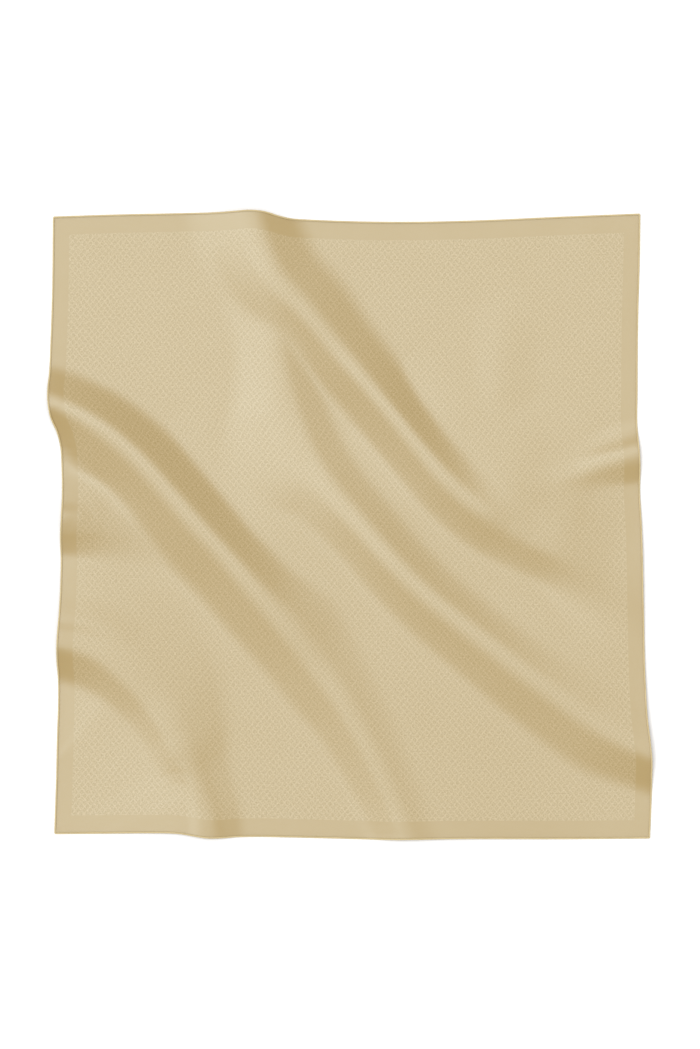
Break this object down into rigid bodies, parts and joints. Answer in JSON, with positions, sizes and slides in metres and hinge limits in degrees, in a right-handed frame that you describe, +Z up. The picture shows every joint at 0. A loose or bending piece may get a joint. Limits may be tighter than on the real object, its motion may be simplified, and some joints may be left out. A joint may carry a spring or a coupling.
{
  "type": "silk square scarf",
  "caption": "Square silk scarf laid out flat, with rolled hems and soft diagonal folds running across it.",
  "frame": {"origin": "centre of the scarf's footprint, on the surface that it lies on", "axes": "+Z up out of the surface, +Y towards the back edge, +X towards the right edge, as seen from above"},
  "size_m": [0.847, 0.8824, 0.0178],
  "materials": {
    "silk": "printed silk twill, soft satin sheen, fine tone-on-tone diaper inside a plain border",
    "hem": "hand-rolled silk hem, plain, sewn with small slip stitches"
  },
  "bodies": {
    "root": {"silk_panel": "silk", "hem_front": "hem", "hem_back": "hem", "hem_left": "hem", "hem_right": "hem"}
  },
  "joints": []
}
